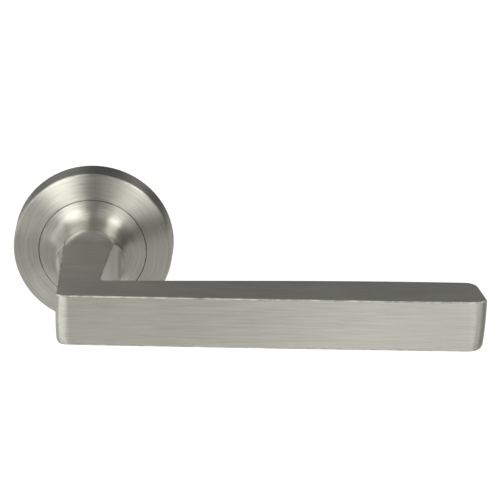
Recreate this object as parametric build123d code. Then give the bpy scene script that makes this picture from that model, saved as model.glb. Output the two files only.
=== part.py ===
from build123d import *
import math
import os

# Lever door handle on a sprung round rose. Millimetres.
# The door's face is the plane y = 0 and the handle stands in front of it, towards -Y.
# The origin is where the spindle's axis meets the door. +X runs along the lever and +Z is up.
# A "depth" below is a distance in front of the door, so depth d is y = -d.
# Angles are seen from the front, anticlockwise from +X.

os.makedirs("parts", exist_ok=True)

# ---------------------------------------------------------------- rose cover
rose_radius = 26.0
rose_draft = 0.2  # extra radius at the door
rim_depth = 7.9
rim_round = 0.8
crown_rise = 1.55  # the face rises this much from the rim to the central hole
crown_bulge = 0.1
cover_wall = 1.5
hole_break = 0.2  # chamfers either side of the gap round the flange

# ---------------------------------------------------------------- lever
flange_radius = 17.5
flange_gap = 0.3  # between the flange and the cover's hole
flare_rise = 1.3  # the flare's straight slope, before it turns into the root
flare_fillet = 3.6
root_radius = 11.4
projection = 67.6  # front of the bar from the door
bar_height = 16.5
bar_left = 7.1  # from the axis to the bar's short end
bar_right = 123.6
bar_thin = 13.0  # thickness beside the neck
bar_thick = 16.3  # thickness of the straight part
bar_full_at = 85.0  # the back is straight beyond this distance along the bar
end_slant = 1.6
end_back_round = 4.5
end_front_round = 2.5
corner_round = 1.0
edge_round = 0.5
neck_left_root = 8.3
neck_right_root = 7.8
neck_right_bar = 5.4
neck_inner_round = 1.2
runout_depth = 23.2  # where the neck's flats begin to run out
runout_radius = 3.0

# ---------------------------------------------------------------- spindle and its fixing
spindle_size = 8.0
spindle_clearance = 0.05
spindle_in_lever = 21.5
spindle_in_door = 45.0
spindle_chamfer = 0.6
set_screw_radius = 2.45
set_screw_length = 6.0
set_screw_depth = 17.0
set_screw_key = 2.5  # across the flats of its hexagon socket
thread_clearance = 0.05

# ---------------------------------------------------------------- journal and bearing
journal_radius = 8.0
journal_clearance = 0.05
journal_end_depth = 0.3
bush_wall = 1.25
key_width = 3.0
key_depth = 1.2
key_clearance = 0.08
clip_recess_depth = 1.9
clip_recess_gap = 1.25  # round the circlip, for its eyes
clip_thickness = 0.75
clip_groove_depth = 0.6  # below the journal's surface
clip_width = 1.9
clip_gap_angle = 50.0
wave_washer_thickness = 0.4
wave_washer_width = 2.1
axial_gap = 0.05

# ---------------------------------------------------------------- base plate and spring cassette
plate_gap = 0.4  # between the plate and the cover, at its edge and in front
hub_wall = 2.7
hub_gap = 0.15  # between the hub and the driver
pocket_floor = 1.0
wire_diameter = 1.2
coil_inside_gap = 0.7  # between the hub and the coil
coil_outside_gap = 0.5  # between the coil and the pocket's wall
coil_turn_gap = 0.05  # least gap between turns
fixed_leg_angle = 106.5  # clear of the upper post and the screws
coil_clearance = 0.05
leg_bend = 0.9  # radius of the wire's middle line where each leg is bent out
leg_slot_depth = 0.6  # past the window's outer wall
snap_wire = 1.0
snap_depth = 3.0
snap_clearance = 0.05
snap_gap_angle = 24.0

# ---------------------------------------------------------------- driver and stops
travel = 50.0
tab_rest_angle = 205.0
tab_angle_width = 12.0
tab_thickness = 1.2
tab_gap = 0.4  # between the pocket's wall and the tab
tab_clearance = 0.4  # between the tab and the window's outer wall
tab_floor_gap = 0.8
stop_play = 0.3  # degrees between the tab and a buffer
buffer_angle = 4.5
buffer_height = 2.4
driver_thickness = 0.8
driver_edge_gap = 0.5  # between the driver's edge and the pocket's wall

# ---------------------------------------------------------------- keeper plate
keeper_thickness = 0.6
keeper_lap = 1.4  # on the plate, round the pocket
keeper_wide_lap = 0.5  # on the plate, round the window
keeper_wide_angle = 37.0
keeper_ear_radius = 2.5
keeper_screw_inset = 4.8  # from the plate's edge
keeper_screw_radius = 1.25
keeper_screw_length = 4.5
keeper_head_radius = 2.2
glide_thickness = 0.5
glide_inner_gap = 1.2
glide_outer = 15.0

# ---------------------------------------------------------------- fixings to the door
post_spacing = 38.0
post_radius = 3.5
post_length = 8.0
post_seat_depth = 1.5  # the post's full width is let into the plate this far
post_spigot_radius = 2.9
post_spigot_length = 4.5
post_thread_radius = 1.65
post_relief_radius = 2.2
wood_screw_inset = 4.6  # from the plate's edge
wood_screw_radius = 1.75
wood_screw_length = 20.0
wood_head_radius = 3.4
wood_head_height = 2.2
wood_tip_length = 4.0
screw_hole_clearance = 0.15

# ---------------------------------------------------------------- worked out from the sizes above
crown_depth = rim_depth + crown_rise
hole_radius = flange_radius + flange_gap
cover_inner_radius = rose_radius - cover_wall
plate_radius = cover_inner_radius - plate_gap
plate_thickness = rim_depth - cover_wall - plate_gap
bush_radius = journal_radius + journal_clearance + bush_wall
hub_radius = bush_radius + hub_wall
coil_radius = hub_radius + coil_inside_gap + wire_diameter / 2
pocket_radius = coil_radius + wire_diameter / 2 + coil_outside_gap
tab_inner = pocket_radius + tab_gap
tab_outer = tab_inner + tab_thickness
window_radius = tab_outer + tab_clearance
leg_slot_radius = window_radius + leg_slot_depth
half_height = bar_height / 2
keeper_back = plate_thickness
keeper_front = keeper_back + keeper_thickness
driver_front = plate_thickness - axial_gap
driver_back = driver_front - driver_thickness
driver_radius = pocket_radius - driver_edge_gap
hub_depth = driver_back - hub_gap
keeper_radius = pocket_radius + keeper_lap
keeper_wide_radius = window_radius + keeper_wide_lap
keeper_screw_place = plate_radius - keeper_screw_inset
wood_screw_circle = plate_radius - wood_screw_inset
glide_back = keeper_front + axial_gap
flange_back = glide_back + glide_thickness + axial_gap
socket_half = spindle_size / 2 + spindle_clearance
clip_front = clip_recess_depth - wave_washer_thickness - 2 * axial_gap
clip_back = clip_front - clip_thickness
clip_groove_radius = journal_radius - clip_groove_depth
clip_recess_radius = clip_groove_radius + clip_width + clip_recess_gap
tab_end_angle = tab_rest_angle - travel
half_tab = tab_angle_width / 2
rest_face_angle = tab_rest_angle + half_tab + stop_play
end_face_angle = tab_end_angle - half_tab - stop_play
leg_radius = wire_diameter / 2
leg_half_angle = math.degrees(math.asin((leg_radius + coil_clearance) / tab_inner))
moving_leg_angle = tab_rest_angle - half_tab - leg_half_angle
coil_back = pocket_floor + coil_clearance + leg_radius
coil_front = driver_back - coil_clearance - leg_radius
bend_angle = math.degrees(math.asin(leg_bend / (coil_radius + leg_bend)))
coil_start_angle = fixed_leg_angle + bend_angle
coil_part_turn = (moving_leg_angle - bend_angle - coil_start_angle) / 360
coil_room = (coil_front - coil_back) / (wire_diameter + coil_turn_gap)
coil_turns = math.floor(coil_room - coil_part_turn) + coil_part_turn
buffer_back = pocket_floor
buffer_front = buffer_back + buffer_height


def front(depth, x=0.0, z=0.0):
    """Plane facing away from the door: its own x and y are the handle's X and Z."""
    return Plane(origin=(x, -depth, z), x_dir=(1, 0, 0), z_dir=(0, -1, 0))


def bar_y(radius, near, far, x=0.0, z=0.0):
    """Solid cylinder along Y from depth near to depth far."""
    return extrude(front(near, x, z) * Circle(radius), amount=far - near)


def ring_y(outer, inner, near, far):
    return bar_y(outer, near, far) - bar_y(inner, near - 1, far + 1)


def turned(*lines):
    """Solid of revolution about the spindle's axis, from a closed outline of (radius, -depth)."""
    return revolve(make_face(Curve() + list(lines)), Axis.Y, 360)


def polar(radius, angle):
    return radius * math.cos(math.radians(angle)), radius * math.sin(math.radians(angle))


def sector(inner, outer, start, end, near, far):
    """Curved block between two radii, two angles and two depths."""
    middle = (start + end) / 2
    outline = Curve() + [
        ThreePointArc(polar(outer, start), polar(outer, middle), polar(outer, end)),
        Line(polar(outer, end), polar(inner, end)),
        ThreePointArc(polar(inner, end), polar(inner, middle), polar(inner, start)),
        Line(polar(inner, start), polar(outer, start)),
    ]
    return extrude(front(near) * make_face(outline), amount=far - near)


def save(shape, name):
    shape.label = name
    export_step(shape, f"parts/{name}.step")


def rose_cover():
    """Round dished shell with a straight rim and a shallow cone that rises to the central hole."""
    face_middle = (rose_radius + hole_radius) / 2
    outer = turned(
        Line((0, 0), (rose_radius + rose_draft, 0)),
        Line((rose_radius + rose_draft, 0), (rose_radius, -rim_depth)),
        ThreePointArc(
            (rose_radius, -rim_depth),
            (face_middle, -(rim_depth + crown_rise / 2 + crown_bulge)),
            (hole_radius, -crown_depth),
        ),
        Line((hole_radius, -crown_depth), (0, -crown_depth)),
        Line((0, -crown_depth), (0, 0)),
    )
    rim = outer.edges().filter_by(GeomType.CIRCLE).sort_by(lambda e: abs(e.radius - rose_radius))[0]
    outer = fillet(rim, rim_round)
    inner_rim = rim_depth - cover_wall
    inner_crown = crown_depth - cover_wall
    inside = turned(
        Line((0, 1), (cover_inner_radius, 1)),
        Line((cover_inner_radius, 1), (cover_inner_radius, -inner_rim)),
        Line((cover_inner_radius, -inner_rim), (hole_radius, -inner_crown)),
        Line((hole_radius, -inner_crown), (0, -inner_crown)),
        Line((0, -inner_crown), (0, 1)),
    )
    shell = outer - inside - bar_y(hole_radius, 0, crown_depth + 1)
    lip = shell.edges().filter_by(GeomType.CIRCLE).sort_by(Axis.Y)[0]
    return chamfer(lip, hole_break)


def lever_plan():
    """The lever seen from above: the neck comes forward from the rose and the bar turns along +X."""
    flare_start = runout_depth - runout_radius
    wide = root_radius + 3
    back_thin = projection - bar_thin
    back_thick = projection - bar_thick
    left_out = neck_left_root + runout_radius
    right_out = neck_right_root + runout_radius
    half_turn = math.sqrt(0.5)
    arc_x = runout_radius * (1 - half_turn)
    arc_d = runout_radius * half_turn
    outline = Polyline(
        (-neck_left_root, -runout_depth),
        (-bar_left, -projection),
        (bar_right, -projection),
        (bar_right - end_slant, -back_thick),
        (bar_full_at, -back_thick),
        (neck_right_bar, -back_thin),
        (neck_right_root, -runout_depth),
    )
    right_arc = ThreePointArc(
        (neck_right_root, -runout_depth),
        (neck_right_root + arc_x, -(runout_depth - arc_d)),
        (right_out, -flare_start),
    )
    left_arc = ThreePointArc(
        (-left_out, -flare_start),
        (-(neck_left_root + arc_x), -(runout_depth - arc_d)),
        (-neck_left_root, -runout_depth),
    )
    inside = Polyline(
        (right_out, -flare_start),
        (wide, -flare_start),
        (wide, -crown_depth),
        (-wide, -crown_depth),
        (-wide, -flare_start),
        (-left_out, -flare_start),
    )
    plan = make_face(Curve() + [outline, right_arc, inside, left_arc])

    def corner(x, depth):
        return plan.vertices().sort_by(lambda v: math.hypot(v.X - x, v.Y + depth))[0]

    for x, depth, radius in (
        (-bar_left, projection, corner_round),
        (bar_right, projection, end_front_round),
        (bar_right - end_slant, back_thick, end_back_round),
        (neck_right_bar, back_thin, neck_inner_round),
    ):
        plan = fillet(corner(x, depth), radius)
    return plan


def lever_side():
    """The lever seen from the side: a flat top and bottom that run out upwards into the round root."""
    flare_start = runout_depth - runout_radius
    out = half_height + runout_radius
    wide = root_radius + 3
    half_turn = math.sqrt(0.5)
    arc_z = half_height + runout_radius * (1 - half_turn)
    arc_d = runout_depth - runout_radius * half_turn
    nose = edge_round * (1 - half_turn)
    top = Curve() + [
        ThreePointArc(
            (-projection, half_height - edge_round),
            (-projection + nose, half_height - nose),
            (-projection + edge_round, half_height),
        ),
        Line((-projection + edge_round, half_height), (-runout_depth, half_height)),
        ThreePointArc((-runout_depth, half_height), (-arc_d, arc_z), (-flare_start, out)),
        Line((-flare_start, out), (-flare_start, wide)),
        Line((-flare_start, wide), (-crown_depth, wide)),
        Line((-crown_depth, wide), (-crown_depth, 0)),
    ]
    side = make_face(top + [
        Line((-crown_depth, 0), (-projection, 0)),
        Line((-projection, 0), (-projection, half_height - edge_round)),
    ])
    return side + mirror(side, about=Plane.XZ)


def lever_outside():
    plan = extrude(lever_plan(), amount=root_radius + 3, both=True)
    # The side outline is drawn as (y, z), on a plane that faces +X.
    side_plane = Plane(origin=(0, 0, 0), x_dir=(0, 1, 0), z_dir=(1, 0, 0))
    side = extrude(side_plane * lever_side(), amount=bar_right + 10, both=True)
    blank = plan & side
    # The root is turned round before the flats are cut, so nothing there stands outside its radius.
    free = bar_right + 20
    loose = runout_depth + runout_radius
    turned_blank = turned(
        Line((0, -crown_depth), (root_radius, -crown_depth)),
        Line((root_radius, -crown_depth), (root_radius, -runout_depth)),
        Line((root_radius, -runout_depth), (root_radius + 1.5, -loose)),
        Line((root_radius + 1.5, -loose), (free, -loose)),
        Line((free, -loose), (free, -projection - 5)),
        Line((free, -projection - 5), (0, -projection - 5)),
        Line((0, -projection - 5), (0, -crown_depth)),
    )
    return blank & turned_blank


def lever_flare():
    """The round foot: a flange that fills the cover's hole, and a flare that narrows to the root."""
    knee = crown_depth + flare_rise
    end = runout_depth - runout_radius - 0.5
    profile = make_face(Polyline(
        (0, -flange_back),
        (flange_radius, -flange_back),
        (flange_radius, -(crown_depth - hole_break)),
        (flange_radius - hole_break, -crown_depth),
        (root_radius, -knee),
        (root_radius, -end),
        (0, -end),
        (0, -flange_back),
    ))
    turn = profile.vertices().sort_by(lambda v: math.hypot(v.X - root_radius, v.Y + knee))[0]
    return revolve(fillet(turn, flare_fillet), Axis.Y, 360)


def lever_handle():
    body = lever_outside() + lever_flare()
    body += bar_y(journal_radius, journal_end_depth, flange_back)
    socket = Box(2 * socket_half, spindle_in_lever + 2, 2 * socket_half)
    body -= Pos(0, -(spindle_in_lever + 2) / 2 + 1, 0) * socket
    body -= ring_y(journal_radius + 1, clip_groove_radius, clip_back - axial_gap, clip_front + axial_gap)
    for side in (1, -1):
        slot = Box(key_width, driver_front + axial_gap + 1, key_depth + 1)
        middle = journal_radius - key_depth + (key_depth + 1) / 2
        body -= Pos(0, -(driver_front + axial_gap - 1) / 2, side * middle) * slot
    downwards = Plane(origin=(0, -set_screw_depth, 0), z_dir=(0, 0, -1))
    hole = downwards * Circle(set_screw_radius + thread_clearance)
    return body - extrude(hole, amount=root_radius + 1)


def lever_set_screw():
    """Grub screw with a hexagon socket, screwed up against the spindle from below."""
    tip = Plane(origin=(0, -set_screw_depth, -spindle_size / 2), z_dir=(0, 0, -1))
    screw = extrude(tip * Circle(set_screw_radius), amount=set_screw_length)
    screw = chamfer(screw.edges().filter_by(GeomType.CIRCLE), 0.4)
    key = tip.offset(set_screw_length) * RegularPolygon(set_screw_key / 2, 6, major_radius=False)
    return screw - extrude(key, amount=-set_screw_length / 2)


def spindle():
    length = spindle_in_lever + spindle_in_door
    bar = Pos(0, (spindle_in_door - spindle_in_lever) / 2, 0) * Box(spindle_size, length, spindle_size)
    ends = bar.faces().sort_by(Axis.Y)
    return chamfer(ends[0].edges() + ends[-1].edges(), spindle_chamfer)


def bolt_post_places():
    return ("bolt_post_upper", post_spacing / 2), ("bolt_post_lower", -post_spacing / 2)


def wood_screw_places():
    return [polar(wood_screw_circle, angle) for angle in (45, 135, 225, 315)]


def keeper_screw_places():
    return (keeper_screw_place, 0), (-keeper_screw_place, 0)


def countersunk(radius, head_radius, head_height, top, bottom, x, z):
    """Countersunk screw blank along Y, or the hole for one: its head is flush at depth top."""
    shank = bar_y(radius, bottom, top, x, z)
    neck_depth = top - head_height
    head = loft([front(neck_depth, x, z) * Circle(radius), front(top, x, z) * Circle(head_radius)])
    return shank + head


def base_plate():
    """Die-cast disc: a bearing hub in the middle of an open spring pocket, and a wall of screw holes."""
    plate = bar_y(plate_radius, 0, plate_thickness)
    plate = chamfer(plate.edges().filter_by(GeomType.CIRCLE).sort_by(Axis.Y)[0], 0.5)
    plate -= bar_y(clip_recess_radius, -1, clip_recess_depth)
    plate -= bar_y(bush_radius, -1, plate_thickness + 1)
    plate -= ring_y(pocket_radius, hub_radius, pocket_floor, plate_thickness + 2)
    plate -= bar_y(hub_radius + 0.5, hub_depth, plate_thickness + 1)
    window_start = end_face_angle - buffer_angle
    window_end = rest_face_angle + buffer_angle
    plate -= sector(pocket_radius - 1, window_radius, window_start, window_end, pocket_floor,
                    plate_thickness + 1)
    # The moving leg passes over the end buffer, so the window reaches further there.
    leg_window = 2 * leg_half_angle + 2
    plate -= sector(pocket_radius - 1, window_radius, window_start - leg_window, window_start + 1,
                    coil_front - leg_radius - 0.3, plate_thickness + 1)
    slot = Box(leg_slot_radius - coil_radius, plate_thickness, wire_diameter + 2 * coil_clearance)
    slot = Pos((leg_slot_radius + coil_radius) / 2, 0, 0) * slot
    plate -= Pos(0, -pocket_floor - plate_thickness / 2, 0) * Rot(0, -fixed_leg_angle, 0) * slot
    for name, z in bolt_post_places():
        plate -= bar_y(post_radius, -1, post_seat_depth, 0, z)
        plate -= bar_y(post_spigot_radius, 0, post_spigot_length, 0, z)
        plate -= bar_y(post_relief_radius, 0, plate_thickness + 1, 0, z)
    hole_extra = screw_hole_clearance
    for x, z in wood_screw_places():
        plate -= countersunk(wood_screw_radius + hole_extra, wood_head_radius + hole_extra, wood_head_height,
                             plate_thickness, -1, x, z)
    for x, z in keeper_screw_places():
        hole_end = keeper_front - keeper_screw_length - 0.3
        plate -= bar_y(keeper_screw_radius, hole_end, plate_thickness + 1, x, z)
    groove = Torus(cover_inner_radius - snap_clearance - snap_wire / 2, snap_wire / 2 + snap_clearance)
    return plate - Pos(0, -snap_depth, 0) * Rot(90, 0, 0) * groove


def cover_snap_ring():
    """Open ring of round wire in the plate's groove, which grips the cover's inside."""
    ring_radius = cover_inner_radius - snap_clearance - snap_wire / 2
    start = snap_gap_angle / 2
    first = polar(ring_radius, 270 + start)
    last = polar(ring_radius, 270 - start)
    path = front(snap_depth) * ThreePointArc(first, polar(ring_radius, 90), last)
    section = Plane(origin=path @ 0, z_dir=path % 0) * Circle(snap_wire / 2)
    return sweep(section, path)


def bolt_post(z):
    """Threaded post that stands in the door, held in the plate by a riveted spigot."""
    post = bar_y(post_radius, -post_length, post_seat_depth, 0, z)
    post = chamfer(post.edges().filter_by(GeomType.CIRCLE).sort_by(Axis.Y)[-1], 0.5)
    post += bar_y(post_spigot_radius, post_seat_depth, post_spigot_length, 0, z)
    return post - bar_y(post_thread_radius, -post_length - 1, post_spigot_length + 1, 0, z)


def cross_recess(top, x, z, width):
    arm = Box(width, 2.4, width / 4)
    return Pos(x, -top, z) * (arm + Rot(0, 90, 0) * arm)


def wood_screws():
    top = plate_thickness - 0.1
    tip_start = top - wood_screw_length + wood_tip_length
    screws = []
    for x, z in wood_screw_places():
        screw = countersunk(wood_screw_radius, wood_head_radius, wood_head_height, top, tip_start, x, z)
        tip = loft([
            front(tip_start, x, z) * Circle(wood_screw_radius),
            front(tip_start - wood_tip_length, x, z) * Circle(0.2),
        ])
        screws.append(screw + tip - cross_recess(top, x, z, 3.6))
    return Compound(children=screws)


def neck_bush():
    bush = ring_y(bush_radius, journal_radius + journal_clearance, clip_recess_depth, hub_depth + axial_gap)
    return chamfer(bush.edges().group_by(Axis.Y)[0], 0.2)


def spring_leg(place, along, reach):
    """Wire that leaves the coil's end in the direction along, bends outwards and runs to the radius reach."""
    outward = Vector(place.X, 0, place.Z).normalized()
    turn = math.radians(bend_angle)
    bend_axis = Axis(place + outward * leg_bend, along.cross(outward))
    bend = revolve(Plane(origin=place, z_dir=along) * Circle(leg_radius), bend_axis, 90 - bend_angle)
    start = place + outward * leg_bend * (1 - math.sin(turn)) + along * leg_bend * math.cos(turn)
    way = outward * math.cos(turn) + along * math.sin(turn)
    length = reach - (coil_radius + leg_bend) * math.cos(turn)
    return bend + extrude(Plane(origin=start, z_dir=way) * Circle(leg_radius), amount=length)


def return_spring():
    """Torsion spring of round wire: its front leg pushes the driver's tab and its back leg is held."""
    height = coil_front - coil_back
    helix = Helix(pitch=height / coil_turns, height=height, radius=coil_radius)
    # The helix climbs along Z from +X: laid along -Y it starts at the back, beside the fixed leg.
    start_x, start_z = polar(1, coil_start_angle)
    path = Plane(origin=(0, -coil_back, 0), x_dir=(start_x, 0, start_z), z_dir=(0, -1, 0)) * helix
    section = Plane(origin=path @ 0, z_dir=path % 0) * Circle(leg_radius)
    coil = sweep(section, path, is_frenet=True)
    fixed_leg = spring_leg(path @ 0, -(path % 0), leg_slot_radius - 0.3)
    moving_leg = spring_leg(path @ 1, path % 1, tab_outer)
    return coil + fixed_leg + moving_leg


def spring_driver():
    """Pressed disc, keyed to the lever's journal, with a tab bent back into the window."""
    disc = ring_y(driver_radius, journal_radius + 2 * journal_clearance, driver_back, driver_front)
    for side in (1, -1):
        reach = key_depth + 1
        key = Box(key_width - 2 * key_clearance, driver_thickness, reach)
        middle = journal_radius - key_depth + key_clearance + reach / 2
        disc += Pos(0, -(driver_back + driver_front) / 2, side * middle) * key
    start = tab_rest_angle - half_tab
    end = tab_rest_angle + half_tab
    disc += sector(driver_radius - 1, tab_outer, start, end, driver_back, driver_front)
    return disc + sector(tab_inner, tab_outer, start, end, pocket_floor + tab_floor_gap, driver_back)


def stop_buffer(start):
    return sector(pocket_radius + 0.1, window_radius, start, start + buffer_angle, buffer_back, buffer_front)


def keeper_plate():
    """Thin plate that shuts the spring pocket, with an ear and a screw at each side."""
    plate = bar_y(keeper_radius, keeper_back, keeper_front)
    for middle in (0, 180):
        plate += sector(keeper_radius - 2, keeper_wide_radius, middle - keeper_wide_angle,
                        middle + keeper_wide_angle, keeper_back, keeper_front)
    for x, z in keeper_screw_places():
        strip = Box(keeper_screw_place - 12, keeper_thickness, 2 * keeper_ear_radius)
        plate += bar_y(keeper_ear_radius, keeper_back, keeper_front, x, z)
        strip_x = math.copysign((keeper_screw_place + 12) / 2, x)
        plate += Pos(strip_x, -(keeper_back + keeper_front) / 2, 0) * strip
        plate -= loft([
            front(keeper_back - 0.01, x, z) * Circle(keeper_screw_radius + 0.1),
            front(keeper_front + 0.01, x, z) * Circle(keeper_head_radius + 0.1),
        ])
    return plate - bar_y(journal_radius + 0.5, 0, plate_thickness + 5)


def keeper_screws():
    screws = []
    for x, z in keeper_screw_places():
        screw = countersunk(keeper_screw_radius, keeper_head_radius, keeper_thickness, keeper_front,
                            keeper_front - keeper_screw_length, x, z)
        slot = Box(2 * keeper_head_radius + 1, 0.7, 0.6)
        screws.append(screw - Pos(x, -keeper_front, z) * Rot(0, 30, 0) * slot)
    return Compound(children=screws)


def retaining_circlip():
    """External circlip in the journal's groove, with two eyes for the pliers."""
    inner = clip_groove_radius + 0.03
    outer = inner + clip_width
    clip = ring_y(outer, inner, clip_back, clip_front)
    clip -= sector(inner - 1, outer + 1, 270 - clip_gap_angle / 2, 270 + clip_gap_angle / 2,
                   clip_back - 1, clip_front + 1)
    eye_radius = 1.15
    for side in (-1, 1):
        x, z = polar(outer - 0.65, 270 + side * (clip_gap_angle / 2 + 6))
        clip += bar_y(eye_radius, clip_back, clip_front, x, z)
        clip -= bar_y(0.55, clip_back - 1, clip_front + 1, x, z)
    return clip - bar_y(inner, clip_back - 1, clip_front + 1)


def wave_washer():
    inner = journal_radius + 2 * journal_clearance
    front_face = clip_recess_depth - axial_gap / 2
    return ring_y(inner + wave_washer_width, inner, front_face - wave_washer_thickness, front_face)


def glide_ring():
    """Nylon ring between the keeper plate and the back of the lever's flange."""
    return ring_y(glide_outer, journal_radius + glide_inner_gap, glide_back, glide_back + glide_thickness)


save(lever_handle(), "lever_handle")
save(lever_set_screw(), "lever_set_screw")
save(spindle(), "spindle")
save(rose_cover(), "rose_cover")
save(cover_snap_ring(), "cover_snap_ring")
save(base_plate(), "base_plate")
for post_name, post_z in bolt_post_places():
    save(bolt_post(post_z), post_name)
save(wood_screws(), "wood_screws")
save(neck_bush(), "neck_bush")
save(return_spring(), "return_spring")
save(spring_driver(), "spring_driver")
save(stop_buffer(rest_face_angle), "rest_stop_buffer")
save(stop_buffer(end_face_angle - buffer_angle), "end_stop_buffer")
save(keeper_plate(), "keeper_plate")
save(keeper_screws(), "keeper_screws")
save(retaining_circlip(), "retaining_circlip")
save(wave_washer(), "wave_washer")
save(glide_ring(), "glide_ring")
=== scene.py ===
import math

import bmesh
import bpy
from mathutils import Matrix, Vector


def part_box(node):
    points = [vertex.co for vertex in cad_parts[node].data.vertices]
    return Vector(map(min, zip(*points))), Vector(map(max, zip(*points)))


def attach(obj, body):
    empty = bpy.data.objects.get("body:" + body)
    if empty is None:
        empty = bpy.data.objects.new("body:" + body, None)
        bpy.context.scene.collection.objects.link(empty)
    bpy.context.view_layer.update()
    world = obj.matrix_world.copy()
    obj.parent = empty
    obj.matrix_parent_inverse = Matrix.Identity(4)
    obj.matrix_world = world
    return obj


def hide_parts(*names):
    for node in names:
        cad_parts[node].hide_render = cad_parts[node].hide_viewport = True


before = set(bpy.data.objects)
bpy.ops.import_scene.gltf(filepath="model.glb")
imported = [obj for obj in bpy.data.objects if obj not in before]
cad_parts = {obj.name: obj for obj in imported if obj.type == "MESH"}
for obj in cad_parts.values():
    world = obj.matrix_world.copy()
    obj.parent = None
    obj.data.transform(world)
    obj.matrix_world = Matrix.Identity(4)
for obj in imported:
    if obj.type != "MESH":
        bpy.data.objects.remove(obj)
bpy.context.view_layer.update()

# Satin nickel lever handle on a round rose. The door's face is y = 0 and the handle stands towards -Y.
# Shapes below are drawn in millimetres, and "depth" is the distance in front of the door.
MM = 0.001


def corner_mm(node, end):
    return [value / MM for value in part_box(node)[end]]


# ---------------------------------------------------------------- sizes read from the frame
LEVER_LOW = corner_mm("lever_handle", 0)
LEVER_HIGH = corner_mm("lever_handle", 1)
COVER_HIGH = corner_mm("rose_cover", 1)
PROJECTION = -LEVER_LOW[1]
JOURNAL_END = -LEVER_HIGH[1]
FLANGE_RADIUS = LEVER_HIGH[2]
BAR_RIGHT = LEVER_HIGH[0] + 1.0  # where the front and the end would meet without their rounding
ROSE_BACK_RADIUS = COVER_HIGH[2]

# ---------------------------------------------------------------- rose
ROSE_DRAFT = 0.2
ROSE_RADIUS = ROSE_BACK_RADIUS - ROSE_DRAFT
RIM_DEPTH = 7.9
RIM_ROUND = 0.7
RIM_PAINTED_SHADE_DEPTH = RIM_DEPTH - RIM_ROUND * 0.55  # the rim's darker copy of the turned nickel, a painted shade, ends here, inside its rounding
CROWN_DEPTH = 9.45
CROWN_BULGE = 0.12
CROWN_STEPS = 20
COVER_WALL = 1.5
COVER_BACK_CHAMFER = 0.15
FLANGE_GAP = 0.17
GAP_EDGE = 0.11
GAP_EDGE_STEPS = 5
COVER_SEGMENTS = 288

# ---------------------------------------------------------------- lever
HALF_HEIGHT = 8.25
BAR_LEFT = 7.1
BAR_BOW = 0.3
BAR_THIN = 13.0
BAR_THICK = 16.3
BAR_FULL_AT = 85.0
END_SLANT = 3.0
EDGE_ROUND = 0.5
CORNER_STEPS = 5
WALL_STEPS = 14
OUTLINE_STEP = 3.0
# Each corner of the outline is a curve that starts and ends this far from it.
FRONT_LEFT_CORNER = (1.3, 4.2)
FRONT_RIGHT_CORNER = (6.0, 2.6)
BACK_RIGHT_CORNER = (3.4, 3.4)
THICKEST_CORNER = (26.0, 26.0)
INNER_CORNER = (2.0, 1.6)
LONG_END_REACH, LONG_END_BLEND, LONG_END_DRAW = 5.0, 4.0, 0.85
SHORT_END_REACH, SHORT_END_BLEND, SHORT_END_FULLNESS = 3.0, 2.5, 0.32
BOTTOM_ROUND_HEIGHT, BOTTOM_ROUND_DEPTH = 2.0, 1.3
STRAIGHT, TURNED, EDGE = 0, 1, 2  # the casting's three finishes; the edges' one is partly rubbed wear, partly a painted highlight
NECK_LEFT_ROOT = 8.3
NECK_RIGHT_ROOT = 7.8
NECK_RIGHT_BAR = 5.4
NECK_ROOT_DEPTH = 23.2
RUNOUT_DEPTH = 24.8
RUNOUT_RADIUS = 5.0
RUNOUT_TURN = 80.0  # degrees of the curve in which each flat ends
ROOT_RADIUS = 11.4
ROOT_WIDENING = 0.7  # growth of the turned root's radius for each millimetre towards the bar
FLATS_SOFTNESS = 0.75  # softness of the edge between two flats
FLARE_RISE = 1.3
FLARE_IN, FLARE_OUT = 4.6, 4.2  # how far the hollow reaches along the root and along the flange
CREASE = 1.1  # softness of the edge where a flat meets the round root
FLANGE_BACK = 7.2
JOURNAL_RADIUS = 8.0
CLIP_GROOVE = (7.4, 0.55, 1.45)
SOCKET_HALF = 4.05
SOCKET_CORNER = 1.38  # the socket's corners are rounded off at this many times its half width
SOCKET_DEPTH = 21.5
SET_SCREW_DEPTH = 17.0
SET_SCREW_HOLE = 2.5
DRILL_SEGMENTS = 48
NECK_SPLIT = 30.0  # the neck's cross-section here joins the bar's mesh to the root's
NECK_STEPS = 9
NECK_BLEND_STEPS = 4  # steps in which the corners change from the bar's to the root's
RUNOUT_STEPS = 40
ACROSS_STEPS = 14
RUNOUT_END = RUNOUT_DEPTH - RUNOUT_RADIUS * math.sin(math.radians(RUNOUT_TURN))


# ================================================================ mesh helpers
def new_piece(name, verts, faces, body, finishes=None):
    """Object from points in millimetres given as (x, y, z), with a material slot for each face."""
    mesh = bpy.data.meshes.new(name)
    mesh.from_pydata([(x * MM, y * MM, z * MM) for x, y, z in verts], [], faces)
    if finishes:
        mesh.polygons.foreach_set("material_index", finishes)
    bm = bmesh.new()
    bm.from_mesh(mesh)
    bmesh.ops.remove_doubles(bm, verts=bm.verts, dist=1e-7)
    bmesh.ops.recalc_face_normals(bm, faces=bm.faces)
    for face in bm.faces:
        face.smooth = True
    bm.to_mesh(mesh)
    bm.free()
    piece = bpy.data.objects.new(name, mesh)
    bpy.context.collection.objects.link(piece)
    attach(piece, body)
    return piece


def weigh_normals(piece):
    """Keeps flat faces flat beside their small rounded edges."""
    weighted = piece.modifiers.new("flat_faces", "WEIGHTED_NORMAL")
    weighted.weight = 100
    weighted.keep_sharp = True


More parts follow.
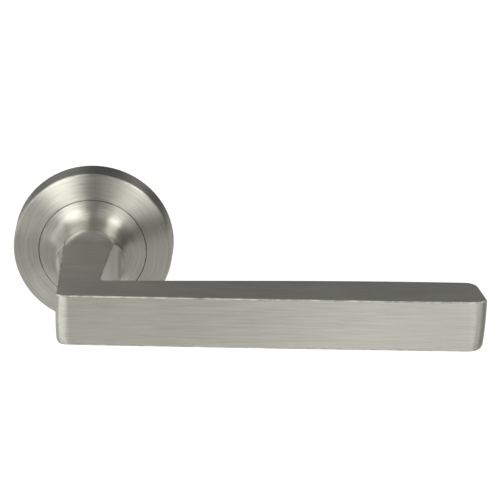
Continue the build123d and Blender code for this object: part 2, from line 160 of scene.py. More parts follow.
def bend(before, corner, after, cut_in, cut_out, steps=8):
    """Smooth corner between two lines, which leaves them at the two given distances from the corner."""
    a, b, c = Vector(before), Vector(corner), Vector(after)
    start = b + (a - b).normalized() * cut_in
    end = b + (c - b).normalized() * cut_out
    # A rational quadratic with this weight is a circular arc where the two cuts are equal.
    weight = math.sin((a - b).angle(c - b) / 2)
    points = []
    for i in range(steps + 1):
        t = i / steps
        k0, k1, k2 = (1 - t) ** 2, 2 * weight * t * (1 - t), t ** 2
        points.append(tuple((start * k0 + b * k1 + end * k2) / (k0 + k1 + k2)))
    return points


def divide(points, longest):
    """The same line with no step longer than longest."""
    out = [points[0]]
    for a, b in zip(points, points[1:]):
        n = max(1, math.ceil(math.dist(a, b) / longest))
        for i in range(1, n + 1):
            out.append((a[0] + (b[0] - a[0]) * i / n, a[1] + (b[1] - a[1]) * i / n))
    return out


def quarter(steps):
    """Angles from 0 to 90 degrees."""
    return [math.radians(90 * i / steps) for i in range(steps + 1)]


def soft_min(a, b, width):
    """The lesser of a and b, rounded over where they differ by less than width."""
    h = max(width - abs(a - b), 0.0) / width
    return min(a, b) - h * h * width / 4


def lathe(name, profile, body, segments):
    """Ring turned about the Y axis from a closed outline of (radius, depth)."""
    verts = []
    for i in range(segments):
        angle = 2 * math.pi * i / segments
        verts += [(r * math.cos(angle), -d, r * math.sin(angle)) for r, d in profile]
    n = len(profile)
    faces = []
    for i in range(segments):
        for j in range(n):
            a, b = i * n + j, i * n + (j + 1) % n
            c, d = ((i + 1) % segments) * n + (j + 1) % n, ((i + 1) % segments) * n + j
            faces.append((a, b, c, d))
    return new_piece(name, verts, faces, body)


# ================================================================ lever
def neck_left(depth):
    along = (depth - NECK_ROOT_DEPTH) / (PROJECTION - NECK_ROOT_DEPTH)
    return NECK_LEFT_ROOT + (BAR_LEFT - NECK_LEFT_ROOT) * along


def neck_right(depth):
    along = (depth - NECK_ROOT_DEPTH) / (PROJECTION - BAR_THIN - NECK_ROOT_DEPTH)
    return NECK_RIGHT_ROOT + (NECK_RIGHT_BAR - NECK_RIGHT_ROOT) * along


def bar_outline():
    """The lever from above as (x, depth), from the neck's left side round the bar to its right side."""
    back_thin = PROJECTION - BAR_THIN
    back_full = PROJECTION - BAR_THICK
    left_top = (-neck_left(NECK_SPLIT), NECK_SPLIT)
    front_left = (-BAR_LEFT, PROJECTION)
    front_right = (BAR_RIGHT, PROJECTION)
    back_right = (BAR_RIGHT - END_SLANT, back_full)
    full_at = (BAR_FULL_AT, back_full)
    inner = (neck_right(back_thin), back_thin)
    right_top = (neck_right(NECK_SPLIT), NECK_SPLIT)
    line = [left_top]
    line += bend(left_top, front_left, front_right, *FRONT_LEFT_CORNER, 14)
    line += bend(front_left, front_right, back_right, *FRONT_RIGHT_CORNER, 18)
    line += bend(front_right, back_right, full_at, *BACK_RIGHT_CORNER, 14)
    line += bend(back_right, full_at, inner, *THICKEST_CORNER, 16)
    line += bend(full_at, inner, right_top, *INNER_CORNER, 10)
    line.append(right_top)
    bowed = []
    for x, depth in divide(line, OUTLINE_STEP):
        along = (x + BAR_LEFT) / (BAR_RIGHT + BAR_LEFT)
        front = max(0.0, (depth - back_thin) / BAR_THIN)
        bowed.append((x, depth - BAR_BOW * front * (2 * along - 1) ** 2))
    return bowed


def inward_normals(line):
    """Unit vectors across the outline, towards the metal."""
    normals = []
    for i in range(len(line)):
        a = line[max(i - 1, 0)]
        b = line[min(i + 1, len(line) - 1)]
        along = Vector((b[0] - a[0], b[1] - a[1])).normalized()
        normals.append((along.y, -along.x))
    return normals


def edge_profile():
    """The lever's side wall as (inset, height), from the bottom edge to the top edge."""
    wall = HALF_HEIGHT - EDGE_ROUND
    corner = [(EDGE_ROUND * (1 - math.cos(a)), wall + EDGE_ROUND * math.sin(a))
              for a in quarter(CORNER_STEPS)]
    walls = [(0.0, -wall + 2 * wall * i / WALL_STEPS) for i in range(1, WALL_STEPS)]
    return [(inset, -z) for inset, z in reversed(corner)] + walls + corner


def shaped(x, depth, z):
    """Hand-polished ends: the short end is slightly full, and both ends draw in towards the bottom."""
    low = (HALF_HEIGHT - z) / (2 * HALF_HEIGHT)
    bottom = max(0.0, (-z - (HALF_HEIGHT - BOTTOM_ROUND_HEIGHT)) / BOTTOM_ROUND_HEIGHT)
    rounding = BOTTOM_ROUND_DEPTH * (1 - math.sqrt(max(0.0, 1 - bottom * bottom)))
    right = min(1.0, max(0.0, (x - (BAR_RIGHT - LONG_END_REACH)) / LONG_END_BLEND))
    x -= right * (LONG_END_DRAW * low ** 2.2 + rounding)
    if depth > PROJECTION - BAR_THICK - 4:
        left = min(1.0, max(0.0, (-x - BAR_LEFT + SHORT_END_REACH) / SHORT_END_BLEND))
        full = SHORT_END_FULLNESS * (1 - (z / HALF_HEIGHT) ** 2)
        x -= left * (full - rounding)
    return x, depth, z


def root_limit(depth):
    """Radius that the lathe left, before the flats were cut."""
    return ROOT_RADIUS + max(0.0, depth - RUNOUT_DEPTH) * ROOT_WIDENING


def root_ring(shape, depth, rise, mix):
    """Neck section whose flats stand out by rise. mix is 1 where the corners follow the bar's own."""
    ring = []
    for u, v in shape:
        flat_x = neck_left(depth) if u < 0 else neck_right(depth)
        x, z = u * flat_x, v * HALF_HEIGHT
        angle = math.atan2(z, x)
        side = (flat_x + rise) / max(abs(math.cos(angle)), 1e-6)
        top = (HALF_HEIGHT + rise) / max(abs(math.sin(angle)), 1e-6)
        flats = soft_min(side, top, FLATS_SOFTNESS)
        radius = soft_min(flats, root_limit(depth), CREASE)
        radius += (math.hypot(x, z) - radius) * mix
        ring.append((radius * math.cos(angle), depth, radius * math.sin(angle)))
    return ring


def flare_profile():
    """Turned foot from the root to the journal's end, as (radius, depth)."""
    knee = CROWN_DEPTH + FLARE_RISE
    points = divide([(ROOT_RADIUS, RUNOUT_END - 0.35), (ROOT_RADIUS, knee + FLARE_IN + 0.2)], 0.9)
    points += bend((ROOT_RADIUS, NECK_SPLIT), (ROOT_RADIUS, knee), (FLANGE_RADIUS, CROWN_DEPTH),
                   FLARE_IN, FLARE_OUT, 22)
    points += divide([points[-1], (FLANGE_RADIUS - 3 * GAP_EDGE, CROWN_DEPTH + 0.02)], 0.8)[1:]
    points += [(FLANGE_RADIUS - GAP_EDGE * (1 - math.sin(a)), CROWN_DEPTH - GAP_EDGE * (1 - math.cos(a)))
               for a in quarter(GAP_EDGE_STEPS)]
    groove_radius, groove_back, groove_front = CLIP_GROOVE
    points += [
        (FLANGE_RADIUS, FLANGE_BACK + 0.1), (FLANGE_RADIUS - 0.1, FLANGE_BACK),
        (JOURNAL_RADIUS, FLANGE_BACK), (JOURNAL_RADIUS, groove_front + 0.02), (JOURNAL_RADIUS, groove_front),
        (groove_radius, groove_front), (groove_radius, groove_back), (JOURNAL_RADIUS, groove_back),
        (JOURNAL_RADIUS, JOURNAL_END + 0.2), (JOURNAL_RADIUS - 0.2, JOURNAL_END),
    ]
    return points


def is_edge(row):
    """Whether the row of faces that starts at this row of the side wall is on one of its rounded edges."""
    rows = WALL_STEPS + 2 * CORNER_STEPS
    return row < CORNER_STEPS or rows - CORNER_STEPS <= row < rows


def bar_wall(line, profile):
    """The side wall along the outline, as points, faces and the faces' finishes."""
    verts, faces, finishes = [], [], []
    rows = len(profile)
    for (x, depth), (nx, nd) in zip(line, inward_normals(line)):
        for inset, z in profile:
            px, pd, pz = shaped(x + nx * inset, depth + nd * inset, z)
            verts.append((px, -pd, pz))
    for i in range(len(line) - 1):
        for j in range(rows - 1):
            a = i * rows + j
            faces.append((a, a + 1, a + rows + 1, a + rows))
            finishes.append(EDGE if is_edge(j) else STRAIGHT)
    return verts, faces, finishes


def close_bar(verts, faces, finishes, columns, rows):
    """Adds the bar's top and bottom, and gives the ring of points where the neck's section is open."""
    last = (columns - 1) * rows
    left_x, right_x = verts[rows - 1][0], verts[last + rows - 1][0]
    shared = {}
    for side in (1, -1):
        shared[side] = [len(verts) + i for i in range(ACROSS_STEPS - 1)]
        steps = range(1, ACROSS_STEPS) if side > 0 else range(ACROSS_STEPS - 1, 0, -1)
        row = [left_x + (right_x - left_x) * i / ACROSS_STEPS for i in steps]
        verts += [(x, -NECK_SPLIT, side * HALF_HEIGHT) for x in row]
    faces.append(tuple([i * rows + rows - 1 for i in range(columns)] + shared[1][::-1]))
    faces.append(tuple([i * rows for i in range(columns)][::-1] + shared[-1][::-1]))
    finishes += [STRAIGHT, STRAIGHT]
    return list(range(rows)) + shared[1] + list(range(last + rows - 1, last - 1, -1)) + shared[-1]


def neck_rings(shape):
    """Rings from the bar down to the end of the flats, each with its finish."""
    rings = []
    for i in range(1, NECK_STEPS + 1):
        depth = NECK_SPLIT + (RUNOUT_DEPTH - NECK_SPLIT) * i / NECK_STEPS
        mix = max(0.0, 1 - i / NECK_BLEND_STEPS)
        rings.append((root_ring(shape, depth, 0.0, mix), STRAIGHT))
    for i in range(1, RUNOUT_STEPS + 1):
        a = math.radians(RUNOUT_TURN * i / RUNOUT_STEPS)
        depth = RUNOUT_DEPTH - RUNOUT_RADIUS * math.sin(a)
        rings.append((root_ring(shape, depth, RUNOUT_RADIUS * (1 - math.cos(a)), 0.0), STRAIGHT))
    for i in range(1, 5):
        rings.append((root_ring(shape, RUNOUT_END - 0.05 * i, RUNOUT_RADIUS + 0.3 * i, 0.0), TURNED))
    return rings


def foot_rings(angles):
    """Rings of the turned foot, the journal and the square socket, at the neck's own angles."""
    rings = []
    for radius, depth in flare_profile():
        rings.append([(radius * math.cos(a), depth, radius * math.sin(a)) for a in angles])
    for depth in (JOURNAL_END, SOCKET_DEPTH):
        points = []
        for a in angles:
            flat = SOCKET_HALF / max(abs(math.cos(a)), abs(math.sin(a)))
            radius = min(flat, SOCKET_HALF * SOCKET_CORNER)
            points.append((radius * math.cos(a), depth, radius * math.sin(a)))
        rings.append(points)
    return [(ring, TURNED) for ring in rings]


def lever_casting():
    """One closed mesh: the bar's side wall along its outline, then rings down the neck to the journal."""
    line, profile = bar_outline(), edge_profile()
    verts, faces, finishes = bar_wall(line, profile)
    ring = close_bar(verts, faces, finishes, len(line), len(profile))
    half_ring = len(ring) // 2
    shape = []
    for index in ring:
        x, z = verts[index][0], verts[index][2]
        half = neck_left(NECK_SPLIT) if x < 0 else neck_right(NECK_SPLIT)
        shape.append((x / half, z / HALF_HEIGHT))
    rings = neck_rings(shape)
    angles = [math.atan2(z, x) for x, depth, z in rings[-1][0]]
    for points, finish in rings + foot_rings(angles):
        new = [len(verts) + j for j in range(len(points))]
        verts += [(x, -depth, z) for x, depth, z in points]
        for j in range(len(new)):
            k = (j + 1) % len(new)
            faces.append((ring[j], ring[k], new[k], new[j]))
            finishes.append(EDGE if finish == STRAIGHT and is_edge(j % half_ring) else finish)
        ring = new
    faces.append(tuple(reversed(ring)))
    finishes.append(TURNED)
    return new_piece("lever_casting", verts, faces, "lever", finishes)


def cut_set_screw_hole(piece):
    """Plain hole for the set screw in the neck's underside."""
    n = DRILL_SEGMENTS
    verts = []
    for z in (-SOCKET_HALF + 0.5, -ROOT_RADIUS - 3):
        for i in range(n):
            a = 2 * math.pi * i / n
            verts.append((SET_SCREW_HOLE * math.cos(a), -SET_SCREW_DEPTH + SET_SCREW_HOLE * math.sin(a), z))
    faces = [(i, (i + 1) % n, n + (i + 1) % n, n + i) for i in range(n)]
    faces += [tuple(reversed(range(n))), tuple(range(n, 2 * n))]
    cutter = new_piece("set_screw_drill", verts, faces, "lever")
    cut = piece.modifiers.new("set_screw_hole", "BOOLEAN")
    cut.operation = "DIFFERENCE"
    cut.solver = "EXACT"
    cut.object = cutter
    bpy.context.view_layer.update()
    done = bpy.data.meshes.new_from_object(piece.evaluated_get(bpy.context.evaluated_depsgraph_get()))
    piece.modifiers.clear()
    piece.data = done
    bpy.data.objects.remove(cutter)


# ================================================================ rose cover
def crown_face(hole):
    """The cover's slightly dished front from the rim to the hole, as (radius, depth)."""
    start, end = ROSE_RADIUS - RIM_ROUND, hole + GAP_EDGE
    points = []
    for i in range(CROWN_STEPS + 1):
        radius = start + (end - start) * i / CROWN_STEPS
        rise = (ROSE_RADIUS - radius) / (ROSE_RADIUS - hole)
        bulge = 4 * CROWN_BULGE * rise * (1 - rise)
        points.append((radius, RIM_DEPTH + (CROWN_DEPTH - RIM_DEPTH) * rise + bulge))
    return points


def rose_shell():
    hole = FLANGE_RADIUS + FLANGE_GAP
    inner = ROSE_RADIUS - COVER_WALL
    back_corner = (ROSE_BACK_RADIUS, COVER_BACK_CHAMFER)
    face = crown_face(hole)
    rim = bend((ROSE_BACK_RADIUS, 0.0), (ROSE_RADIUS, RIM_DEPTH), face[0], RIM_ROUND, RIM_ROUND * 0.9, 8)
    lip = [(hole + GAP_EDGE * (1 - math.sin(a)), CROWN_DEPTH - GAP_EDGE * (1 - math.cos(a)))
           for a in quarter(GAP_EDGE_STEPS)]
    profile = [back_corner, (ROSE_BACK_RADIUS - COVER_BACK_CHAMFER, 0.0), (inner + 0.1, 0.0), (inner, 0.1)]
    profile += [(inner, RIM_DEPTH - COVER_WALL), (hole, CROWN_DEPTH - COVER_WALL)]
    profile += lip[::-1] + face[::-1][1:] + rim[::-1][1:]
    profile += divide([rim[0], back_corner], 1.5)[1:-1]
    return lathe("rose_shell", profile, "cover", COVER_SEGMENTS)


# ================================================================ materials
def group_sockets(tree, inputs, outputs):
    for name, kind, value in inputs:
        socket = tree.interface.new_socket(name, in_out="INPUT", socket_type=kind)
        if value is not None:
            socket.default_value = value
    for name, kind in outputs:
        tree.interface.new_socket(name, in_out="OUTPUT", socket_type=kind)
    return tree.nodes.new("NodeGroupInput"), tree.nodes.new("NodeGroupOutput")


def maths(tree, operation, a, b=None):
    node = tree.nodes.new("ShaderNodeMath")
    node.operation = operation
    for socket, value in zip(node.inputs, (a, b)):
        if value is None:
            continue
        if isinstance(value, (int, float)):
            socket.default_value = value
        else:
            tree.links.new(value, socket)
    return node.outputs[0]


def vector_maths(tree, operation, a, b=None):
    node = tree.nodes.new("ShaderNodeVectorMath")
    node.operation = operation
    for socket, value in zip(node.inputs, (a, b)):
        if value is None:
            continue
        if isinstance(value, tuple):
            socket.default_value = value
        else:
            tree.links.new(value, socket)
    return node


def combine(tree, x, y, z):
    node = tree.nodes.new("ShaderNodeCombineXYZ")
    for socket, value in zip(node.inputs, (x, y, z)):
        if isinstance(value, (int, float)):
            socket.default_value = value
        else:
            tree.links.new(value, socket)
    return node.outputs[0]


def noise(tree, vector, scale, detail, roughness=0.5):
    node = tree.nodes.new("ShaderNodeTexNoise")
    node.inputs["Scale"].default_value = scale
    node.inputs["Detail"].default_value = detail
    node.inputs["Roughness"].default_value = roughness
    tree.links.new(vector, node.inputs["Vector"])
    return node.outputs["Fac"]


def brush_lines_group():
    """Fine and broad brush marks, from a vector that changes slowly along the marks."""
    tree = bpy.data.node_groups.new("brush_lines", "ShaderNodeTree")
    inside, out = group_sockets(
        tree,
        [("Vector", "NodeSocketVector", None), ("Fine", "NodeSocketFloat", 900.0),
         ("Broad", "NodeSocketFloat", 160.0)],
        [("Marks", "NodeSocketFloat"), ("Bands", "NodeSocketFloat")],
    )
    for output, scale, detail in (("Marks", "Fine", 4.0), ("Bands", "Broad", 3.0)):
        node = tree.nodes.new("ShaderNodeTexNoise")
        node.inputs["Detail"].default_value = detail
        node.inputs["Roughness"].default_value = 0.6
        tree.links.new(inside.outputs["Vector"], node.inputs["Vector"])
        tree.links.new(inside.outputs[scale], node.inputs["Scale"])
        tree.links.new(node.outputs["Fac"], out.inputs[output])
    return tree


def wear_group():
    """Cloudy handling marks, around one half."""
    tree = bpy.data.node_groups.new("handling_marks", "ShaderNodeTree")
    inside, out = group_sockets(
        tree,
        [("Vector", "NodeSocketVector", None), ("Size", "NodeSocketFloat", 60.0)],
        [("Cloud", "NodeSocketFloat")],
    )
    cloud = tree.nodes.new("ShaderNodeTexNoise")
    cloud.inputs["Detail"].default_value = 5.0
    tree.links.new(inside.outputs["Vector"], cloud.inputs["Vector"])
    tree.links.new(inside.outputs["Size"], cloud.inputs["Scale"])
    tree.links.new(cloud.outputs["Fac"], out.inputs["Cloud"])
    return tree


def spread(tree, value, low, high, half_range=0.25):
    """Noise around one half, moved to between low and high."""
    node = tree.nodes.new("ShaderNodeMapRange")
    node.inputs["From Min"].default_value = 0.5 - half_range
    node.inputs["From Max"].default_value = 0.5 + half_range
    node.inputs["To Min"].default_value = low
    node.inputs["To Max"].default_value = high
    tree.links.new(value, node.inputs["Value"])
    return node.outputs["Result"]


def new_material(name, metallic):
    material = bpy.data.materials.new(name)
    material.use_nodes = True
    tree = material.node_tree
    shader = tree.nodes["Principled BSDF"]
    shader.inputs["Metallic"].default_value = metallic
    return material, tree, shader


def place_group(tree, group, vector, **values):
    node = tree.nodes.new("ShaderNodeGroup")
    node.node_tree = group
    tree.links.new(vector, node.inputs["Vector"])
    for key, value in values.items():
        node.inputs[key].default_value = value
    return node


def add_bump(tree, shader, height, strength, distance):
    node = tree.nodes.new("ShaderNodeBump")
    node.inputs["Strength"].default_value = strength
    node.inputs["Distance"].default_value = distance * MM
    tree.links.new(height, node.inputs["Height"])
    tree.links.new(node.outputs["Normal"], shader.inputs["Normal"])


def tint(tree, shader, dark, light, value):
    mix = tree.nodes.new("ShaderNodeMix")
    mix.data_type = "RGBA"
    mix.inputs["A"].default_value = (*dark, 1)
    mix.inputs["B"].default_value = (*light, 1)
    tree.links.new(value, mix.inputs["Factor"])
    tree.links.new(mix.outputs["Result"], shader.inputs["Base Color"])


def to_world(tree, vector):
    node = tree.nodes.new("ShaderNodeVectorTransform")
    node.vector_type = "VECTOR"
    node.convert_from = "OBJECT"
    node.convert_to = "WORLD"
    tree.links.new(vector, node.inputs["Vector"])
    return node.outputs["Vector"]


MARK_STRETCH = 0.03  # the pattern changes this many times as fast along straight marks as across them
TURNED_STRETCH = 0.0009  # the radius in metres round which the turned marks' pattern changes
SIDEWAYS = 0.75  # faces whose normal leans this much to the left or right have upright marks
# Painted shade: this much is taken off the tone of faces that look to the right.
RIGHT_SIDE_PAINTED_SHADE = 0.22
# Painted shade: the rim's copy of the turned nickel has both its colours scaled by this.
RIM_PAINTED_SHADE = 0.48
NICKEL_DARK = (0.375, 0.372, 0.325)
NICKEL_LIGHT = (0.565, 0.561, 0.50)


def mix_vectors(tree, factor, a, b):
    node = tree.nodes.new("ShaderNodeMix")
    node.data_type = "VECTOR"
    tree.links.new(factor, node.inputs["Factor"])
    tree.links.new(a, node.inputs["A"])
    tree.links.new(b, node.inputs["B"])
    return node.outputs["Result"]


def turned_marks(tree, normal, position):
    """Marks round the spindle: their pattern's vector, and the direction in which they spread light."""
    x, y, z = position.outputs
    flat = combine(tree, x, 0.0, z)
    length = vector_maths(tree, "LENGTH", flat).outputs["Value"]
    unit = vector_maths(tree, "NORMALIZE", flat).outputs["Vector"]
    slow = vector_maths(tree, "MULTIPLY", unit, (TURNED_STRETCH, 0.0, TURNED_STRETCH)).outputs["Vector"]
    across = combine(tree, 0.0, maths(tree, "ADD", length, y), 0.0)
    pattern = vector_maths(tree, "ADD", slow, across).outputs["Vector"]
    around = vector_maths(tree, "CROSS_PRODUCT", unit, (0.0, 1.0, 0.0)).outputs["Vector"]
    return pattern, vector_maths(tree, "CROSS_PRODUCT", normal, around).outputs["Vector"]


def straight_marks(tree, normal, position, facing_x):
    """Marks along the bar, or upright on faces that look left or right, in the same form as turned_marks."""
    x, y, z = position.outputs
    side = maths(tree, "GREATER_THAN", maths(tree, "ABSOLUTE", facing_x), SIDEWAYS)
    along = combine(tree, maths(tree, "SUBTRACT", 1.0, side), 0.0, side)
    level = combine(tree, maths(tree, "MULTIPLY", x, MARK_STRETCH), y, z)
    upright = combine(tree, x, y, maths(tree, "MULTIPLY", z, MARK_STRETCH))
    pattern = mix_vectors(tree, side, level, upright)
    return pattern, vector_maths(tree, "CROSS_PRODUCT", normal, along).outputs["Vector"]


def paint_shade_on_right_side(tree, tone, facing_x):
    """Painted shade: darkens the faces that look to the right."""
    right_side_shade = tree.nodes.new("ShaderNodeMapRange")
    right_side_shade.inputs["From Min"].default_value = 0.15
    right_side_shade.inputs["From Max"].default_value = 0.6
    right_side_shade.inputs["To Max"].default_value = RIGHT_SIDE_PAINTED_SHADE
    tree.links.new(facing_x, right_side_shade.inputs["Value"])
    return maths(tree, "SUBTRACT", tone, right_side_shade.outputs["Result"])


def nickel(name, lines, wear, turned, shade=1.0):
    """Satin nickel with its brush marks either straight or turned about the spindle."""
    material, tree, shader = new_material(name, 1.0)
    where = tree.nodes.new("ShaderNodeTexCoord")
    normal = where.outputs["Normal"]
    position = tree.nodes.new("ShaderNodeSeparateXYZ")
    tree.links.new(where.outputs["Object"], position.inputs[0])
    facing = tree.nodes.new("ShaderNodeSeparateXYZ")
    tree.links.new(normal, facing.inputs[0])
    if turned:
        pattern, stretch = turned_marks(tree, normal, position)
    else:
        pattern, stretch = straight_marks(tree, normal, position, facing.outputs[0])
    brush = place_group(tree, lines, pattern, Fine=2700.0, Broad=520.0)
    marks = place_group(tree, wear, where.outputs["Object"], Size=70.0)
    tree.links.new(to_world(tree, stretch), shader.inputs["Tangent"])
    tone = maths(tree, "MULTIPLY", brush.outputs["Marks"], 0.68)
    tone = maths(tree, "ADD", tone, maths(tree, "MULTIPLY", brush.outputs["Bands"], 0.16))
    tone = maths(tree, "ADD", tone, maths(tree, "MULTIPLY", marks.outputs["Cloud"], 0.16))
    # Painted shade on the faces that look to the right.
    if not turned:
        tone = paint_shade_on_right_side(tree, tone, facing.outputs[0])
    # A shade below 1 scales both colours down: a painted shade, used for the rim.
    dark, light = [tuple(shade * part for part in colour) for colour in (NICKEL_DARK, NICKEL_LIGHT)]
    tone_range = 0.14 if turned else 0.21
    tint(tree, shader, dark, light, spread(tree, tone, 0.0, 1.0, tone_range))
    tree.links.new(spread(tree, tone, 0.35, 0.45, tone_range), shader.inputs["Roughness"])
    shader.inputs["Anisotropic"].default_value = 0.95
    add_bump(tree, shader, brush.outputs["Marks"], 0.25, 0.012)
    return material


def edge_wear_and_highlight(wear):
    """Nickel on the corners, rubbed across the brush marks, with its own tint and unbrushed finish as a
    painted highlight, so the rounded edges read as bright lines.
    """
    material, tree, shader = new_material("satin_nickel_edge_wear_and_highlight", 1.0)
    where = tree.nodes.new("ShaderNodeTexCoord")
    marks = place_group(tree, wear, where.outputs["Object"], Size=420.0)
    wear_and_highlight_tone = spread(tree, marks.outputs["Cloud"], 0.0, 1.0, 0.2)
    tint(tree, shader, (0.26, 0.257, 0.23), (0.56, 0.555, 0.50), wear_and_highlight_tone)
    shader.inputs["Roughness"].default_value = 0.6
    return material


def plain_metal(name, wear, dark, light, rough, grain, bump):
    """Unbrushed metal. grain is the scale of its cloudy noise, and bump is its fine grain's depth in mm."""
    material, tree, shader = new_material(name, 1.0)
    where = tree.nodes.new("ShaderNodeTexCoord")
    marks = place_group(tree, wear, where.outputs["Object"], Size=grain)
    tint(tree, shader, dark, light, spread(tree, marks.outputs["Cloud"], 0.0, 1.0))
    tree.links.new(spread(tree, marks.outputs["Cloud"], rough[0], rough[1]), shader.inputs["Roughness"])
    add_bump(tree, shader, noise(tree, where.outputs["Object"], grain * 12, 4.0), 0.3, bump)
    return material


def nylon_material(wear):
    material, tree, shader = new_material("moulded_nylon", 0.0)
    where = tree.nodes.new("ShaderNodeTexCoord")
    marks = place_group(tree, wear, where.outputs["Object"], Size=120.0)
    tint(tree, shader, (0.62, 0.60, 0.52), (0.74, 0.72, 0.65), spread(tree, marks.outputs["Cloud"], 0.0, 1.0))
    tree.links.new(spread(tree, marks.outputs["Cloud"], 0.42, 0.55), shader.inputs["Roughness"])
    add_bump(tree, shader, noise(tree, where.outputs["Object"], 2500.0, 2.0), 0.2, 0.02)
    return material


# ================================================================ stage, light and camera
FLOOR_FRONT = 0.6
FLOOR_BACK = 1.08
FLOOR_SIZE, FLOOR_DROP = 12.0, 0.60
FLOOR_SWEEP = (-0.08, 0.75)  # the floor's glow, a painted light, brightens between these distances behind the door's face
WORLD_LIGHT = 0.15


def softbox(name, azimuth, elevation, size, brightness, distance=1.5):
    """Rectangular lamp aimed at the handle. Azimuth 0 is in front of the door and 90 is to the right."""
    turn, lift = math.radians(azimuth), math.radians(elevation)
    away = Vector((math.sin(turn) * math.cos(lift), -math.cos(turn) * math.cos(lift), math.sin(lift)))
    light = bpy.data.lights.new(name, "AREA")
    light.shape = "RECTANGLE"
    light.size, light.size_y = size
    light.energy = math.pi * size[0] * size[1] * brightness
    lamp = bpy.data.objects.new(name, light)
    bpy.context.collection.objects.link(lamp)
    lamp.visible_camera = False
    lamp.location = Vector((0.04, -0.03, 0)) + away * distance
    lamp.rotation_mode = "QUATERNION"
    lamp.rotation_quaternion = (-away).to_track_quat("-Z", "Y")


def floor():
    size = FLOOR_SIZE
    corners = [(-size, -size), (size, -size), (size, size), (-size, size)]
    mesh = bpy.data.meshes.new("studio_floor")
    mesh.from_pydata([(x, y, -FLOOR_DROP) for x, y in corners], [], [(0, 1, 2, 3)])
    plane = bpy.data.objects.new("studio_floor", mesh)
    bpy.context.collection.objects.link(plane)
    material = bpy.data.materials.new("glowing_floor_painted_light")
    material.use_nodes = True
    tree = material.node_tree
    shader = tree.nodes["Principled BSDF"]
    # The floor is no lamp yet glows: its emission is painted light, brighter further behind the door's face.
    shader.inputs["Base Color"].default_value = (0.05, 0.05, 0.05, 1)
    shader.inputs["Roughness"].default_value = 1.0
    shader.inputs["Specular IOR Level"].default_value = 0.0
    shader.inputs["Emission Strength"].default_value = 1.0
    where = tree.nodes.new("ShaderNodeTexCoord")
    place = tree.nodes.new("ShaderNodeSeparateXYZ")
    tree.links.new(where.outputs["Object"], place.inputs[0])
    sweep = tree.nodes.new("ShaderNodeMapRange")
    sweep.interpolation_type = "SMOOTHSTEP"
    sweep.inputs["From Min"].default_value = FLOOR_SWEEP[0]
    sweep.inputs["From Max"].default_value = FLOOR_SWEEP[1]
    sweep.inputs["To Min"].default_value = FLOOR_FRONT
    sweep.inputs["To Max"].default_value = FLOOR_BACK
    tree.links.new(place.outputs["Y"], sweep.inputs["Value"])
    tree.links.new(sweep.outputs["Result"], shader.inputs["Emission Color"])
    plane.data.materials.append(material)


def camera():
    azimuth, elevation, roll = math.radians(0.11), math.radians(21.56), math.radians(0.93)
    distance, focal_ratio, sensor = 0.794, 4.8, 36.0
    target = Vector((0.0514, 0.0, -0.00253))
    ahead = Vector((-math.sin(azimuth) * math.cos(elevation), math.cos(azimuth) * math.cos(elevation),
                    -math.sin(elevation)))
    right = Vector((math.cos(azimuth), math.sin(azimuth), 0))
    up = right.cross(ahead)
    tilted_right = right * math.cos(roll) + up * math.sin(roll)
    tilted_up = up * math.cos(roll) - right * math.sin(roll)
    data = bpy.data.cameras.new("camera")
    data.sensor_width = sensor
    data.lens = sensor * focal_ratio
    data.clip_start = 0.01
    view = bpy.data.objects.new("camera", data)
    bpy.context.collection.objects.link(view)
    turn = Matrix((tilted_right, tilted_up, -ahead)).transposed().to_4x4()
    view.matrix_world = Matrix.Translation(target - ahead * distance) @ turn
    bpy.context.scene.camera = view


def studio():
    world = bpy.data.worlds.new("studio")
    world.use_nodes = True
    world.node_tree.nodes["Background"].inputs["Color"].default_value = (1, 1, 1, 1)
    world.node_tree.nodes["Background"].inputs["Strength"].default_value = WORLD_LIGHT
    bpy.context.scene.world = world
    softbox("left_key", -31, 21, (0.80, 0.60), 7.2)
    softbox("left_high", -60, 58, (0.70, 0.90), 2.4)
    softbox("left_side", -72, 8, (0.80, 0.80), 2.0)
    softbox("right_key", 54, 42, (0.50, 0.62), 9.0)
    softbox("right_front", 18, 42, (0.55, 0.58), 1.6)
    softbox("front_strip", 18, 0, (0.78, 0.56), 3.1)
    softbox("overhead", 0, 84, (0.90, 0.50), 0.4)
    softbox("low_glow", 0, -58, (0.16, 0.12), 2.9, 0.32)
    bpy.context.scene.view_settings.view_transform = "Standard"
    bpy.context.scene.view_settings.look = "None"


# ================================================================ put together
def dress(node, material):
    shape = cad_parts[node]
    shape.data.materials.clear()
    shape.data.materials.append(material)


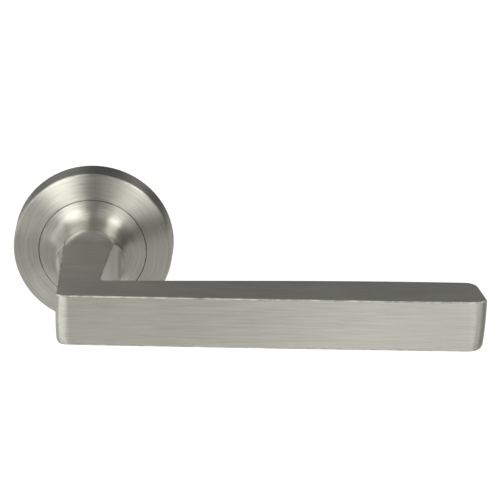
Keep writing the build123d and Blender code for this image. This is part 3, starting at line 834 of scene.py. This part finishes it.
def make_lever(straight, turned, edge):
    lever = lever_casting()
    for material in (straight, turned, edge):
        lever.data.materials.append(material)
    cut_set_screw_hole(lever)
    weigh_normals(lever)
    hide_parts("lever_handle")


def make_cover(turned, rim):
    shell = rose_shell()
    shell.data.materials.append(turned)
    # The second slot is the darker copy of the turned nickel: painted shade on the rim.
    shell.data.materials.append(rim)
    for face in shell.data.polygons:
        if -face.center.y < RIM_PAINTED_SHADE_DEPTH * MM:
            face.material_index = 1
    weigh_normals(shell)
    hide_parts("rose_cover")


def main():
    lines, wear = brush_lines_group(), wear_group()
    straight = nickel("satin_nickel_straight", lines, wear, False)
    turned = nickel("satin_nickel_turned", lines, wear, True)
    # A darker copy of the turned nickel: painted shade on the rim.
    rim = nickel("satin_nickel_rim_painted_shade", lines, wear, True, RIM_PAINTED_SHADE)
    # Edges: rubbed wear, and a painted highlight along them.
    edge = edge_wear_and_highlight(wear)
    zinc = plain_metal("zinc_casting", wear, (0.20, 0.21, 0.215), (0.34, 0.35, 0.35),
                       (0.42, 0.58), 90.0, 0.05)
    plated = plain_metal("plated_steel", wear, (0.44, 0.42, 0.33), (0.60, 0.58, 0.50),
                         (0.24, 0.38), 60.0, 0.02)
    spring = plain_metal("spring_steel", wear, (0.13, 0.13, 0.14), (0.24, 0.245, 0.25),
                         (0.28, 0.42), 110.0, 0.02)
    black = plain_metal("black_steel", wear, (0.025, 0.025, 0.027), (0.06, 0.06, 0.062),
                        (0.35, 0.5), 80.0, 0.03)
    nylon = nylon_material(wear)

    make_lever(straight, turned, edge)
    make_cover(turned, rim)
    for node, material in {
        "lever_set_screw": black, "spindle": plated, "cover_snap_ring": spring, "base_plate": zinc,
        "bolt_post_upper": plated, "bolt_post_lower": plated, "wood_screws": plated, "neck_bush": nylon,
        "return_spring": spring, "spring_driver": plated, "rest_stop_buffer": nylon, "end_stop_buffer": nylon,
        "keeper_plate": plated, "keeper_screws": plated, "retaining_circlip": black, "wave_washer": spring,
        "glide_ring": nylon,
    }.items():
        dress(node, material)
    floor()
    studio()
    camera()


main()
